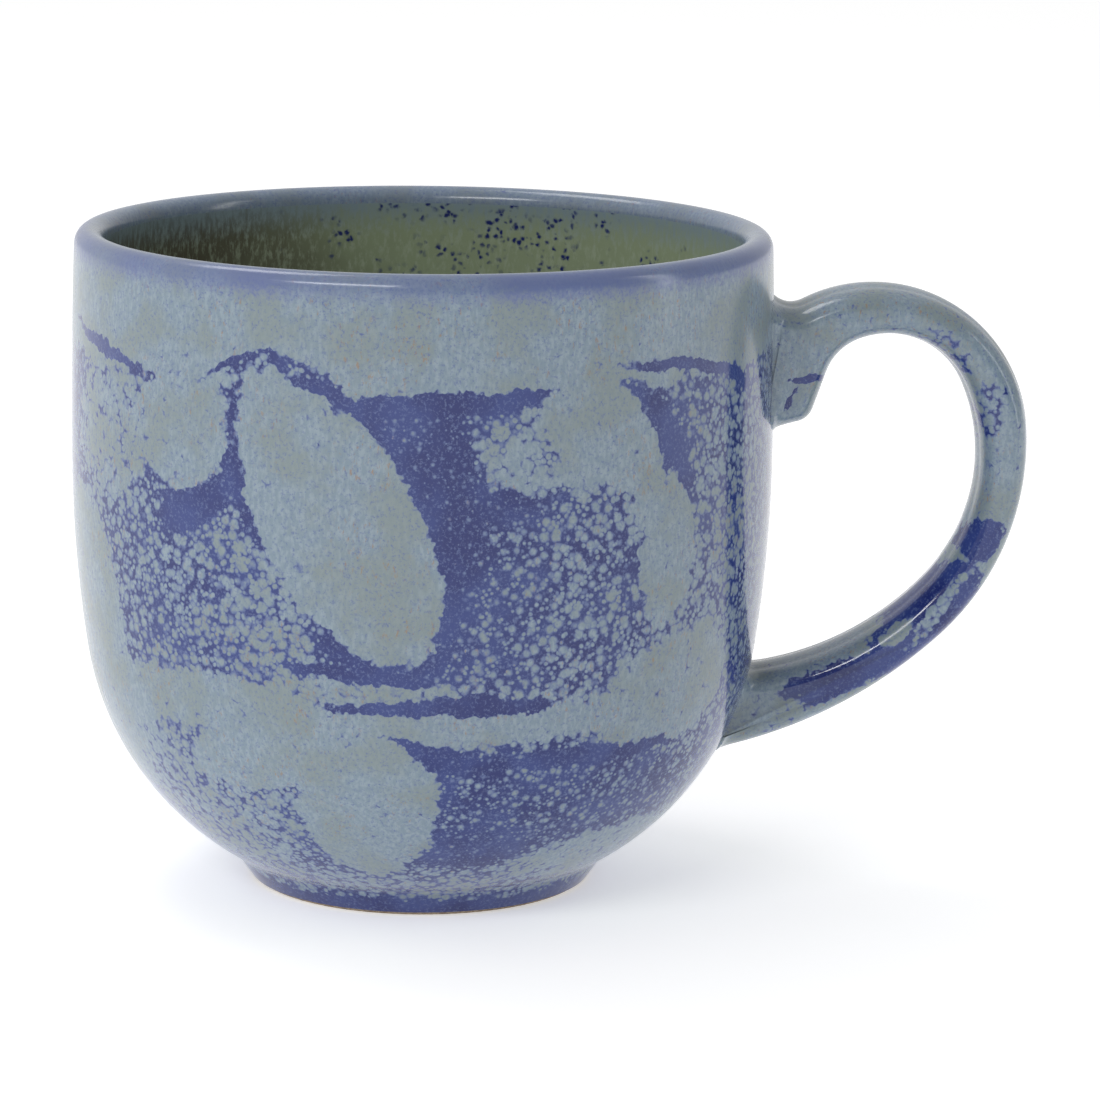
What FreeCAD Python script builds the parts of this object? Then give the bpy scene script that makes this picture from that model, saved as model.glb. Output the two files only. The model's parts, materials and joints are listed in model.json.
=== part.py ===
import FreeCAD, Part

# A glazed stoneware mug: the cup, its strap handle, the two slip joints that hold the handle on,
# and the coats of glaze over the clay.  Millimetres, +Z up, handle towards +X, origin at the
# centre of the foot ring, on the surface that the mug stands on.

import math
import os
import re

import Sketcher

SIZES = {
    # the cup's outside, over the glaze: a chain of arcs that run on into each other
    "mug_height": 84.0,
    "belly_radius": 44.5,
    "belly_height": 55.5,
    "shoulder_arc": 800.0,
    "flank_arc": 170.0,
    "bowl_arc": 37.8,
    "bowl_z": 36.4,
    # the cup's inside: the same chain set in by the wall, down to a rounded floor
    "wall": 3.8,
    "floor_height": 6.4,
    "floor_corner_arc": 20.0,
    # the foot ring, which leans out from its toe, and the hollow inside it
    "foot_radius": 21.6,
    "foot_height": 3.6,
    "foot_lean": 35.0,
    "foot_ring_width": 2.9,
    "foot_edge_round": 0.3,
    "recess_height": 2.0,
    "recess_lean": 18.0,
    # the glaze, and the strip of foot wiped clean of it
    "glaze": 0.4,
    "bare_strip": 0.5,
    # the handle's outer edge from the side, over the glaze: heel, tail, side and crown
    "heel_x": 38.2,
    "heel_arc": 3.0,
    "tail_z": 76.2,
    "tail_arc": 60.3,
    "side_z": 56.5,
    "side_arc": 33.2,
    "crown_x": 57.2,
    "crown_z": 57.6,
    "crown_arc": 19.5,
    "top_flare_x": 46.6,
    "top_flare_arc": 3.5,
    # the handle's inner edge: under the spur, round it, and round the eye to the lower root
    "under_flare_x": 45.6,
    "under_flare_z": 57.2,
    "under_flare_arc": 2.2,
    "spur_x": 46.9,
    "spur_z": 62.5,
    "spur_arc": 2.6,
    "throat_x": 57.6,
    "throat_arc": 7.0,
    "eye_x": 58.9,
    "eye_z": 60.5,
    "eye_arc": 10.8,
    "eye_side_z": 55.1,
    "eye_side_arc": 23.8,
    "eye_tail_z": 64.1,
    "eye_tail_arc": 37.0,
    "inner_flare_x": 42.7,
    "inner_flare_arc": 1.5,
    # the handle's section and how far its roots run on into the cup wall
    "strap_width": 12.0,
    "strap_edge_round": 2.2,
    "root_arc": 4.5,
    "upper_root_x": 38.3,
    "upper_root_top_z": 75.5,
    "upper_root_low_z": 59.0,
    "lower_root_x": 36.4,
    "lower_root_top_z": 27.0,
    "lower_root_low_x": 32.5,
    "lower_root_low_z": 19.5,
    # the slip joints
    "slip": 0.5,
    "joint_split_z": 45.0,
    "joint_reach": 60.0,
}

doc = FreeCAD.newDocument("Mug")
sheet = doc.addObject("Spreadsheet::Sheet", "Sizes")
for row, (alias, number) in enumerate(SIZES.items(), start=1):
    sheet.set(f"A{row}", alias.replace("_", " "))
    sheet.set(f"B{row}", str(number))
    sheet.setAlias(f"B{row}", alias)
doc.recompute()

# two places this close, in millimetres, are one
TOUCHING = 1e-4


def over_sheet(expression):
    """The expression with every size in it written as a cell of the sheet."""
    words = "|".join(SIZES)
    return re.sub(rf"\b({words})\b", r"Sizes.\1", expression)


def value(expression):
    return float(sheet.evalExpression(over_sheet(expression)))


def at(x, z):
    return FreeCAD.Vector(x, z, 0)


CONVEX = 1
CONCAVE = -1

# the neighbour in a chain that an arc touches
PREVIOUS = -1
NEXT = 1


class Arc:
    """One arc of an outline, with its sizes as expressions for the glazed surface.

    It turns left where it is convex, because an outline keeps the solid on its left.  Where one
    coordinate of the centre is left out, the arc touches the neighbour named, and its centre
    lies on the side of the neighbour's that way gives.
    """

    def __init__(self, turn, radius, x=None, z=None, touches=None, way=1):
        self.turn = turn
        self.radius = radius
        self.x = x
        self.z = z
        self.touches = touches
        self.way = way

    def signed_radius(self, inset):
        return self.turn * value(self.radius) - value(inset)


def centre_of(arcs, index):
    """The centre of one arc of a chain, rolled on its neighbour where it isn't fixed."""
    arc = arcs[index]
    if arc.touches is None:
        return at(value(arc.x), value(arc.z))
    neighbour = index + arc.touches
    centre = centre_of(arcs, neighbour)
    reach = arc.signed_radius(GLAZED) - arcs[neighbour].signed_radius(GLAZED)
    if arc.x:
        x = value(arc.x)
        return at(x, centre.y + arc.way * math.sqrt(reach**2 - (x - centre.x) ** 2))
    z = value(arc.z)
    return at(centre.x + arc.way * math.sqrt(reach**2 - (z - centre.y) ** 2), z)


# how far a surface lies under the glazed one
GLAZED = "0"
CLAY = "glaze"
SLIPPED = "(glaze - slip)"

LIP_Z = "mug_height - wall / 2"

OUTSIDE = (
    Arc(CONVEX, "bowl_arc", z="bowl_z", touches=NEXT),
    Arc(CONVEX, "flank_arc", x="belly_radius - flank_arc", z="belly_height"),
    Arc(CONVEX, "shoulder_arc", z="belly_height", touches=PREVIOUS, way=-1),
)
INSIDE = (
    Arc(CONCAVE, "shoulder_arc - wall", z="belly_height", touches=NEXT, way=-1),
    Arc(CONCAVE, "flank_arc - wall", x="belly_radius - flank_arc", z="belly_height"),
    Arc(CONCAVE, "bowl_arc - wall", z="bowl_z", touches=PREVIOUS),
    Arc(CONCAVE, "floor_corner_arc", z="floor_height + floor_corner_arc", touches=PREVIOUS),
)
# the handle from the side: its heel, its outer edge, the upper root, its inner edge, the lower root
STRAP = (
    Arc(CONCAVE, "heel_arc", x="heel_x", touches=NEXT, way=-1),
    Arc(CONVEX, "tail_arc", z="tail_z", touches=NEXT, way=-1),
    Arc(CONVEX, "side_arc", z="side_z", touches=NEXT, way=-1),
    Arc(CONVEX, "crown_arc", x="crown_x", z="crown_z"),
    Arc(CONCAVE, "top_flare_arc", x="top_flare_x", touches=PREVIOUS),
    Arc(CONVEX, "root_arc", x="upper_root_x", z="upper_root_top_z"),
    Arc(CONVEX, "root_arc", x="upper_root_x", z="upper_root_low_z"),
    Arc(CONCAVE, "under_flare_arc", x="under_flare_x", z="under_flare_z"),
    Arc(CONVEX, "spur_arc", x="spur_x", z="spur_z"),
    Arc(CONCAVE, "throat_arc", x="throat_x", touches=NEXT),
    Arc(CONCAVE, "eye_arc", x="eye_x", z="eye_z"),
    Arc(CONCAVE, "eye_side_arc", z="eye_side_z", touches=PREVIOUS, way=-1),
    Arc(CONCAVE, "eye_tail_arc", z="eye_tail_z", touches=PREVIOUS, way=-1),
    Arc(CONCAVE, "inner_flare_arc", x="inner_flare_x", touches=PREVIOUS, way=-1),
    Arc(CONVEX, "root_arc", x="lower_root_x", z="lower_root_top_z"),
    Arc(CONVEX, "root_arc", x="lower_root_low_x", z="lower_root_low_z"),
)

# the ends and the centre of a sketch's curve, its origin and its upright axis
START, END, CENTRE = 1, 2, 3
ORIGIN = (-1, 1)
AXIS = -2


class Outline:
    """A closed sketch in the XZ plane of a body, with every size bound to the sheet."""

    def __init__(self, body, name):
        self.sketch = body.newObject("Sketcher::SketchObject", name)
        plane = next(f for f in body.Origin.OriginFeatures if f.Role == "XZ_Plane")
        self.sketch.AttachmentSupport = [(plane, "")]
        self.sketch.MapMode = "FlatFace"

    def relate(self, kind, *where):
        return self.sketch.addConstraint(Sketcher.Constraint(kind, *where))

    def bind(self, kind, where, expression):
        """A dimension that the sheet gives."""
        number = value(expression)
        if kind == "Angle":
            number = math.radians(number)
        index = self.relate(kind, *where, number)
        name = f"size_{index}"
        self.sketch.renameConstraint(index, name)
        self.sketch.setExpression(f"Constraints.{name}", over_sheet(expression))

    def across(self, point, expression):
        self.bind("DistanceX", (*ORIGIN, *point), expression)

    def up(self, point, expression):
        self.bind("DistanceY", (*ORIGIN, *point), expression)

    def line(self, start, end):
        return self.sketch.addGeometry(Part.LineSegment(start, end))

    def bridge(self, first, second):
        """A straight edge between two loose ends."""
        edge = self.line(self.sketch.getPoint(*first), self.sketch.getPoint(*second))
        self.relate("Coincident", *first, edge, START)
        self.relate("Coincident", edge, END, *second)

    def arc(self, turn, centre, entry, leave):
        """An arc from entry to leave; returns the sketch's names for those two ends."""
        first, last = (entry, leave) if turn == CONVEX else (leave, entry)
        circle = Part.Circle(centre, FreeCAD.Vector(0, 0, 1), (entry - centre).Length)
        angles = [math.atan2(p.y - centre.y, p.x - centre.x) for p in (first, last)]
        if angles[1] < angles[0]:
            angles[1] += 2 * math.pi
        index = self.sketch.addGeometry(Part.ArcOfCircle(circle, *angles))
        ends = ((index, START), (index, END))
        return ends if turn == CONVEX else ends[::-1]

    def chain(self, arcs, inset, entry_z=None, leave_z=None):
        """Arcs that run on into each other, with a straight run where two don't touch.

        The chain closes on itself unless the heights of its two ends are given.  Returns the
        first arc's entry and the last arc's leave.
        """
        radii = [arc.signed_radius(inset) for arc in arcs]
        centres = [centre_of(arcs, index) for index in range(len(arcs))]
        last = len(arcs) - 1
        joins = [(index, index + 1) for index in range(last)]
        entries, leaves = {}, {}
        if entry_z is None:
            joins.append((last, 0))
        else:
            entries[0] = end_of_arc(centres[0], radii[0], entry_z)
            leaves[last] = end_of_arc(centres[last], radii[last], leave_z)
        for one, other in joins:
            normal = shared_normal(centres[one], centres[other], radii[one], radii[other])
            leaves[one] = centres[one] + normal * radii[one]
            entries[other] = centres[other] + normal * radii[other]

        ends = [
            self.arc(arc.turn, centres[index], entries[index], leaves[index])
            for index, arc in enumerate(arcs)
        ]
        for one, other in joins:
            if leaves[one].isEqual(entries[other], TOUCHING):
                self.relate("Tangent", *ends[one][1], *ends[other][0])
            else:
                run = self.line(leaves[one], entries[other])
                self.relate("Tangent", *ends[one][1], run, START)
                self.relate("Tangent", run, END, *ends[other][0])
        for arc, (entry, _) in zip(arcs, ends):
            sign = "-" if arc.turn == CONVEX else "+"
            self.bind("Radius", (entry[0],), f"{arc.radius} {sign} {inset}")
            if arc.x:
                self.across((entry[0], CENTRE), arc.x)
            if arc.z:
                self.up((entry[0], CENTRE), arc.z)
        return ends[0][0], ends[last][1]


def shared_normal(first, second, first_radius, second_radius):
    """The direction square to the straight run, or the shared point, between two arcs."""
    apart = first - second
    ratio = (second_radius - first_radius) / apart.Length
    bend = math.acos(max(-1.0, min(1.0, ratio)))
    heading = math.atan2(apart.y, apart.x)
    for angle in (heading + bend, heading - bend):
        if math.sin(angle) * apart.x - math.cos(angle) * apart.y >= 0:
            return at(math.cos(angle), math.sin(angle))
    return at(math.cos(heading + bend), math.sin(heading + bend))


def end_of_arc(centre, radius, height):
    """The point of an arc, on the side away from the axis, at a height."""
    rise = value(height) - centre.y
    return at(centre.x + math.sqrt(radius**2 - rise**2), centre.y + rise)


def outside(outline, inset, bottom):
    """The outside of the cup, from a height on the foot up to the lip.  Returns its two ends."""
    ankle, rim = outline.chain(OUTSIDE, inset, "foot_height", LIP_Z)
    toe_radius = f"foot_radius - {inset} + {bottom} * tan(foot_lean)"
    foot = outline.line(at(value(toe_radius), value(bottom)), outline.sketch.getPoint(*ankle))
    outline.relate("Coincident", foot, END, *ankle)
    outline.across((foot, START), toe_radius)
    outline.up((foot, START), bottom)
    outline.bind("Angle", (foot,), "90 - foot_lean")
    outline.up(rim, LIP_Z)
    return (foot, START), rim


def inside(outline, inset):
    """The inside of the cup, from the lip down to the middle of the floor."""
    floor_z = f"floor_height - {inset}"
    rim, corner = outline.chain(INSIDE, inset, LIP_Z, floor_z)
    floor = outline.line(outline.sketch.getPoint(*corner), at(0, value(floor_z)))
    outline.relate("Tangent", *corner, floor, START)
    outline.relate("Horizontal", floor)
    outline.relate("PointOnObject", floor, END, AXIS)
    outline.up(rim, LIP_Z)
    return rim, (floor, END)


def lip(outline, inset, outer):
    """The round lip, from the outside of the wall over to the inside.  Returns its inner end."""
    shoulder_x = "belly_radius - shoulder_arc"
    inner_arc = f"(shoulder_arc - wall + {inset})"
    rim_x = f"{shoulder_x} + sqrt({inner_arc} * {inner_arc} - ({LIP_Z} - belly_height) ^ 2)"
    start = outline.sketch.getPoint(*outer)
    inner = at(value(rim_x), start.y)
    top, inner_end = outline.arc(CONVEX, (start + inner) / 2, start, inner)
    outline.relate("Coincident", *outer, *top)
    outline.up((top[0], CENTRE), LIP_Z)
    return inner_end, rim_x


def recess(outline, inset, bottom):
    """The hollow in the foot, from a height on the ring's inner side to the middle."""
    toe_x = f"foot_radius - foot_ring_width + {inset} - {bottom} * tan(recess_lean)"
    ceiling_z = f"recess_height + {inset}"
    toe = at(value(toe_x), value(bottom))
    rise = value(ceiling_z) - toe.y
    corner = toe + at(-rise * math.tan(math.radians(value("recess_lean"))), rise)
    side = outline.line(toe, corner)
    ceiling = outline.line(corner, at(0, corner.y))
    outline.relate("Coincident", side, END, ceiling, START)
    outline.relate("Horizontal", ceiling)
    outline.relate("PointOnObject", ceiling, END, AXIS)
    outline.up((ceiling, END), ceiling_z)
    outline.across((side, START), toe_x)
    outline.up((side, START), bottom)
    outline.bind("Angle", (side,), "90 + recess_lean")
    return (side, START), (ceiling, END)


def turned(name, draw):
    """A body turned about the Z axis from the closed profile that draw makes."""
    body = doc.addObject("PartDesign::Body", name)
    outline = Outline(body, f"{name}_profile")
    draw(outline)
    turn = body.newObject("PartDesign::Revolution", f"{name}_turn")
    turn.Profile = outline.sketch
    turn.ReferenceAxis = (outline.sketch, ["V_Axis"])
    turn.Angle = 360
    doc.recompute()
    return body


def draw_cup(outline):
    toe, outer_rim = outside(outline, CLAY, "0")
    inner_rim, floor_middle = inside(outline, CLAY)
    inner_end, _ = lip(outline, CLAY, outer_rim)
    outline.relate("Coincident", *inner_end, *inner_rim)
    heel, recess_middle = recess(outline, CLAY, "0")
    outline.bridge(floor_middle, recess_middle)
    outline.bridge(heel, toe)


def draw_outer_glaze(outline):
    ends = []
    for inset in (GLAZED, CLAY):
        toe, outer_rim = outside(outline, inset, "bare_strip")
        inner_end, rim_x = lip(outline, inset, outer_rim)
        outline.across(inner_end, rim_x)
        outline.up(inner_end, LIP_Z)
        ends.append((toe, inner_end))
    outline.bridge(ends[0][0], ends[1][0])
    outline.bridge(ends[0][1], ends[1][1])


def draw_inner_glaze(outline):
    rim, middle = inside(outline, GLAZED)
    clay_rim, clay_middle = inside(outline, CLAY)
    outline.bridge(rim, clay_rim)
    outline.bridge(middle, clay_middle)


def draw_recess_glaze(outline):
    heel, middle = recess(outline, GLAZED, "bare_strip")
    clay_heel, clay_middle = recess(outline, CLAY, "bare_strip")
    outline.bridge(heel, clay_heel)
    outline.bridge(middle, clay_middle)


def draw_filled_cup(inset):
    """The drawing of a cup with no hollow in it, which only cuts other pieces."""

    def draw(outline):
        middles = []
        for end in outside(outline, inset, "0"):
            point = outline.sketch.getPoint(*end)
            level = outline.line(point, at(0, point.y))
            outline.relate("Coincident", *end, level, START)
            outline.relate("Horizontal", level)
            outline.relate("PointOnObject", level, END, AXIS)
            middles.append((level, END))
        outline.bridge(*middles)

    return draw


def strap(name, inset):
    """The handle as one solid strap: its side view pushed out to its width, edges rounded."""
    body = doc.addObject("PartDesign::Body", name)
    outline = Outline(body, f"{name}_side")
    outline.chain(STRAP, inset)

    push = body.newObject("PartDesign::Pad", f"{name}_push")
    push.Profile = outline.sketch
    push.SideType = "Symmetric"
    push.setExpression("Length", over_sheet(f"strap_width - 2 * {inset}"))
    doc.recompute()

    rounding = body.newObject("PartDesign::Fillet", f"{name}_rounding")
    rounding.Base = (push, side_faces(push.Shape))
    rounding.setExpression("Radius", over_sheet(f"strap_edge_round - {inset}"))
    doc.recompute()
    return body


def side_faces(shape):
    """The names of the two flat faces that look along Y."""
    return [
        f"Face{number}"
        for number, face in enumerate(shape.Faces, start=1)
        if face.BoundBox.YLength < TOUCHING
    ]


def boolean(kind, name, base, tool):
    result = doc.addObject(f"Part::{kind}", name)
    result.Base = base
    result.Tool = tool
    doc.recompute()
    return result


def round_foot_edges(cup):
    """Ease the two edges of the foot ring where it meets the table."""
    turn = cup.Tip
    edges = [
        f"Edge{number}"
        for number, edge in enumerate(turn.Shape.Edges, start=1)
        if edge.BoundBox.ZMax < TOUCHING
    ]
    rounding = cup.newObject("PartDesign::Fillet", "foot_edges")
    rounding.Base = (turn, edges)
    rounding.setExpression("Radius", over_sheet("foot_edge_round"))
    doc.recompute()


def joint_space(name, low, high):
    """A box that holds one end of the handle, from one height to another."""
    space = doc.addObject("Part::Box", name)
    for side, expression in (
        ("Length", "joint_reach"),
        ("Width", "joint_reach"),
        ("Height", f"{high} - {low}"),
        (".Placement.Base.y", "-joint_reach / 2"),
        (".Placement.Base.z", low),
    ):
        space.setExpression(side, over_sheet(expression))
    doc.recompute()
    return space


cup_body = turned("cup_body", draw_cup)
round_foot_edges(cup_body)
glazed_strap = strap("glazed_strap", GLAZED)
clay_strap = strap("clay_strap", CLAY)
filled_cup = turned("filled_cup", draw_filled_cup(CLAY))
slipped_cup = turned("slipped_cup", draw_filled_cup(SLIPPED))

handle = boolean("Cut", "handle", clay_strap, slipped_cup)
slip_skin = boolean("Cut", "slip_skin", slipped_cup, filled_cup)
slips = boolean("Common", "slips", slip_skin, clay_strap)
upper_space = joint_space("upper_space", "joint_split_z", "mug_height")
lower_space = joint_space("lower_space", "0", "joint_split_z")
upper_slip = boolean("Common", "upper_slip_joint", slips, upper_space)
lower_slip = boolean("Common", "lower_slip_joint", slips, lower_space)

outer_coat = turned("outer_coat", draw_outer_glaze)
outer_glaze = boolean("Cut", "outer_glaze", outer_coat, glazed_strap)
inner_glaze = turned("inner_glaze", draw_inner_glaze)
foot_glaze = turned("foot_recess_glaze", draw_recess_glaze)
strap_outside_cup = boolean("Cut", "strap_outside_cup", glazed_strap, filled_cup)
handle_glaze = boolean("Cut", "handle_glaze", strap_outside_cup, clay_strap)

PIECES = (
    cup_body,
    handle,
    upper_slip,
    lower_slip,
    outer_glaze,
    inner_glaze,
    handle_glaze,
    foot_glaze,
)

for item in doc.Objects:
    if {"Invalid", "Error"} & set(item.State):
        raise RuntimeError(f"{item.Label} failed: {item.State}")
os.makedirs("parts", exist_ok=True)
for piece in PIECES:
    shape = piece.Shape
    if shape.isNull() or not shape.isValid() or shape.Volume <= 0:
        raise RuntimeError(f"{piece.Label} has no sound shape")
    shape.exportStep(f"parts/{piece.Label}.step")
    box = shape.BoundBox
    print(
        f"{piece.Label}: {len(shape.Solids)} solid, {shape.Volume / 1000:.2f} cm3, "
        f"{box.XLength:.1f} x {box.YLength:.1f} x {box.ZLength:.1f} mm"
    )
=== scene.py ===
"""A glazed stoneware mug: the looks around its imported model."""

import json
import math

import bmesh
import bpy
import numpy as np
from mathutils import Matrix, Vector


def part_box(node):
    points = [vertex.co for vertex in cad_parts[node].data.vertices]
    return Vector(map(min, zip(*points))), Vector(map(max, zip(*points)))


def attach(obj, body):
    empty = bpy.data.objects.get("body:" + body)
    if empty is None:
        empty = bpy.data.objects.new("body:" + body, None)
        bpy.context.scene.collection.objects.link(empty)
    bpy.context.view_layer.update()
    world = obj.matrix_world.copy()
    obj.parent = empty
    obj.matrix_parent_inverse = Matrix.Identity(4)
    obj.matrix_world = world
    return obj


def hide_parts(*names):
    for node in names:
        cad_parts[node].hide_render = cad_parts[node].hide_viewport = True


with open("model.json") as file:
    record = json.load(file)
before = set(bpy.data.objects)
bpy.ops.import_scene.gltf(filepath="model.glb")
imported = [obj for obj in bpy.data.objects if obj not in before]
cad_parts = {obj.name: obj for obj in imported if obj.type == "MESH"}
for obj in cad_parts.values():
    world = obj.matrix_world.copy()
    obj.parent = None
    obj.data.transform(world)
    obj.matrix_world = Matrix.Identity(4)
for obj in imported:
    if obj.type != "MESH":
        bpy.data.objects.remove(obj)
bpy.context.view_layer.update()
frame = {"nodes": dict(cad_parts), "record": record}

MM = 0.001

BODY = "root"
COAT_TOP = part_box("outer_glaze")[1]
BELLY = COAT_TOP.y
HEIGHT = COAT_TOP.z
STRAP_HALF_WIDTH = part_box("handle_glaze")[1].y


# ---------------------------------------------------------------------------------------------
# outlines made of arcs that run on into each other

CONVEX = 1
CONCAVE = -1
PREVIOUS = -1
NEXT = 1


def point(x, z):
    return np.array((x, z), float)


def polar(centre, radius, angle):
    return centre + radius * point(math.cos(angle), math.sin(angle))


class Arc:
    """One arc, in millimetres.  Where x or z is left out, it touches the neighbour named."""

    def __init__(self, turn, radius, x=None, z=None, touches=None, way=1):
        self.signed_radius = turn * radius
        self.turn = turn
        self.x = x
        self.z = z
        self.touches = touches
        self.way = way


def centre_of(arcs, index):
    arc = arcs[index]
    if arc.touches is None:
        return point(arc.x, arc.z)
    neighbour = index + arc.touches
    x, z = centre_of(arcs, neighbour)
    reach = arc.signed_radius - arcs[neighbour].signed_radius
    if arc.x is not None:
        return point(arc.x, z + arc.way * math.sqrt(reach**2 - (arc.x - x) ** 2))
    return point(x + arc.way * math.sqrt(reach**2 - (arc.z - z) ** 2), arc.z)


def shared_normal(first, second, first_radius, second_radius):
    """The angle of the direction square to the straight run between two arcs."""
    apart = first - second
    ratio = (second_radius - first_radius) / np.hypot(*apart)
    bend = math.acos(max(-1.0, min(1.0, ratio)))
    heading = math.atan2(apart[1], apart[0])
    for angle in (heading + bend, heading - bend):
        if math.sin(angle) * apart[0] - math.cos(angle) * apart[1] >= 0:
            return angle
    return heading + bend


def swept(turn, first, last):
    """The angle from first to last, turning left for a convex arc and right for a concave one."""
    return turn * ((turn * (last - first)) % math.tau)


# ---------------------------------------------------------------------------------------------
# the cup's coat, turned about the Z axis

WALL = 3.8
BELLY_Z = 55.5
SHOULDER_ARC = 800.0
FLANK_ARC = 170.0
BOWL_ARC = 37.8
BOWL_Z = 36.4
FLOOR_Z = 6.4
FLOOR_ARC = 20.0
FOOT_RADIUS = 21.6
FOOT_TOP_Z = 3.6
FOOT_LEAN = math.radians(35.0)
BARE_STRIP = 0.5
PROFILE_STEP = 0.35
PROFILE_SOFTENING = 2
CUP_SEGMENTS = 240

belly = BELLY / MM
lip_z = HEIGHT / MM - WALL / 2
flank = point(belly - FLANK_ARC, BELLY_Z)
shoulder = point(belly - SHOULDER_ARC, BELLY_Z)
bowl = point(flank[0] + math.sqrt((FLANK_ARC - BOWL_ARC) ** 2 - (BELLY_Z - BOWL_Z) ** 2), BOWL_Z)
bowl_start = math.asin((BOWL_Z - BELLY_Z) / (FLANK_ARC - BOWL_ARC))


def arc_points(centre, radius, first, last):
    count = max(2, math.ceil(abs(last - first) * radius / PROFILE_STEP))
    return [polar(centre, radius, angle) for angle in np.linspace(first, last, count + 1)]


def evenly_spaced(points, step):
    points = np.array(points)
    lengths = np.hypot(*np.diff(points, axis=0).T)
    travel = np.concatenate(([0.0], np.cumsum(lengths)))
    places = np.linspace(0.0, travel[-1], math.ceil(travel[-1] / step) + 1)
    return np.stack([np.interp(places, travel, points[:, axis]) for axis in (0, 1)], axis=1)


def softened(points, rounds):
    points = points.copy()
    for _ in range(rounds):
        points[1:-1] = points[1:-1] / 2 + (points[:-2] + points[2:]) / 4
    return points


def cup_profile():
    """The whole coat's section from the foot's bare strip, over the lip, to the floor's middle."""
    toe = point(FOOT_RADIUS + BARE_STRIP * math.tan(FOOT_LEAN), BARE_STRIP)
    ankle = math.asin((FOOT_TOP_Z - BOWL_Z) / BOWL_ARC)
    top = math.asin((lip_z - BELLY_Z) / SHOULDER_ARC)
    outer_rim = polar(shoulder, SHOULDER_ARC, top)
    lip_centre = point(outer_rim[0] - WALL / 2, lip_z)
    inner_bowl_arc = BOWL_ARC - WALL
    corner_reach = inner_bowl_arc - FLOOR_ARC
    corner_z = FLOOR_Z + FLOOR_ARC
    corner_x = bowl[0] + math.sqrt(corner_reach**2 - (BOWL_Z - corner_z) ** 2)
    corner_start = math.asin((corner_z - BOWL_Z) / corner_reach)

    points = [toe]
    points += arc_points(bowl, BOWL_ARC, ankle, bowl_start)
    points += arc_points(flank, FLANK_ARC, bowl_start, 0.0)
    points += arc_points(shoulder, SHOULDER_ARC, 0.0, top)
    points += arc_points(lip_centre, WALL / 2, top, math.pi)
    points += arc_points(shoulder, SHOULDER_ARC - WALL, top, 0.0)
    points += arc_points(flank, FLANK_ARC - WALL, 0.0, bowl_start)
    points += arc_points(bowl, inner_bowl_arc, bowl_start, corner_start)
    points += arc_points(point(corner_x, corner_z), FLOOR_ARC, corner_start, -math.pi / 2)
    points.append(point(0.0, FLOOR_Z))
    return softened(evenly_spaced(points, PROFILE_STEP), PROFILE_SOFTENING)


def outward(profile):
    """The profile's normals, pointing out of the clay."""
    along = np.gradient(profile, axis=0)
    normals = np.stack((along[:, 1], -along[:, 0]), axis=1)
    return normals / np.hypot(*normals.T)[:, None]


def ring_faces(rings, size):
    """The faces between closed rings of size points that follow each other."""
    faces = []
    for ring in range(rings - 1):
        low, high = ring * size, (ring + 1) * size
        for column in range(size):
            following = (column + 1) % size
            faces.append((low + column, low + following, high + following, high + column))
    return faces


def turned(name, profile, normals):
    """A smooth mesh of a profile in millimetres, turned about the Z axis."""
    angles = np.arange(CUP_SEGMENTS) * math.tau / CUP_SEGMENTS
    around = np.stack((np.cos(angles), np.sin(angles)), axis=1)

    def spun(pairs):
        flat = pairs[:, None, :1] * around[None]
        upright = np.repeat(pairs[:, None, 1:], CUP_SEGMENTS, axis=1)
        return np.concatenate((flat, upright), axis=2).reshape(-1, 3)

    faces = ring_faces(len(profile), CUP_SEGMENTS)
    mesh = bpy.data.meshes.new(name)
    mesh.from_pydata((spun(profile) * MM).tolist(), [], faces)
    mesh.polygons.foreach_set("use_smooth", [True] * len(faces))
    mesh.normals_split_custom_set_from_vertices(spun(normals).tolist())
    return placed(name, mesh)


def placed(name, mesh):
    piece = bpy.data.objects.new(name, mesh)
    bpy.context.scene.collection.objects.link(piece)
    return piece


def without_pinhole(profile):
    """The inner profile, ended a hair from the axis so that its last ring isn't one point."""
    profile = profile.copy()
    profile[-1, 0] = PROFILE_STEP / 100
    return profile


def make_cup_coats():
    profile = cup_profile()
    normals = outward(profile)
    top = int(np.argmax(profile[:, 1]))
    over = next(row for row in range(top, len(profile)) if profile[row, 1] < lip_z)
    outer = turned("cup_coat", profile[: over + 1], normals[: over + 1])
    inner = turned("liner_coat", without_pinhole(profile[over:]), normals[over:])
    return outer, inner


# ---------------------------------------------------------------------------------------------
# the handle's coat: its side outline, drawn in round the edges like a pulled strap of clay

ROOT_ARC = 4.5
STRAP = (
    Arc(CONCAVE, 3.0, x=38.2, touches=NEXT, way=-1),
    Arc(CONVEX, 60.3, z=76.2, touches=NEXT, way=-1),
    Arc(CONVEX, 33.2, z=56.5, touches=NEXT, way=-1),
    Arc(CONVEX, 19.5, x=57.2, z=57.6),
    Arc(CONCAVE, 3.5, x=46.6, touches=PREVIOUS),
    Arc(CONVEX, ROOT_ARC, x=38.3, z=75.5),
    Arc(CONVEX, ROOT_ARC, x=38.3, z=59.0),
    Arc(CONCAVE, 2.2, x=45.6, z=57.2),
    Arc(CONVEX, 2.6, x=46.9, z=62.5),
    Arc(CONCAVE, 7.0, x=57.6, touches=NEXT),
    Arc(CONCAVE, 10.8, x=58.9, z=60.5),
    Arc(CONCAVE, 23.8, z=55.1, touches=PREVIOUS, way=-1),
    Arc(CONCAVE, 37.0, z=64.1, touches=PREVIOUS, way=-1),
    Arc(CONCAVE, 1.5, x=42.7, touches=PREVIOUS, way=-1),
    Arc(CONVEX, ROOT_ARC, x=36.4, z=27.0),
    Arc(CONVEX, ROOT_ARC, x=32.5, z=19.5),
)
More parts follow.
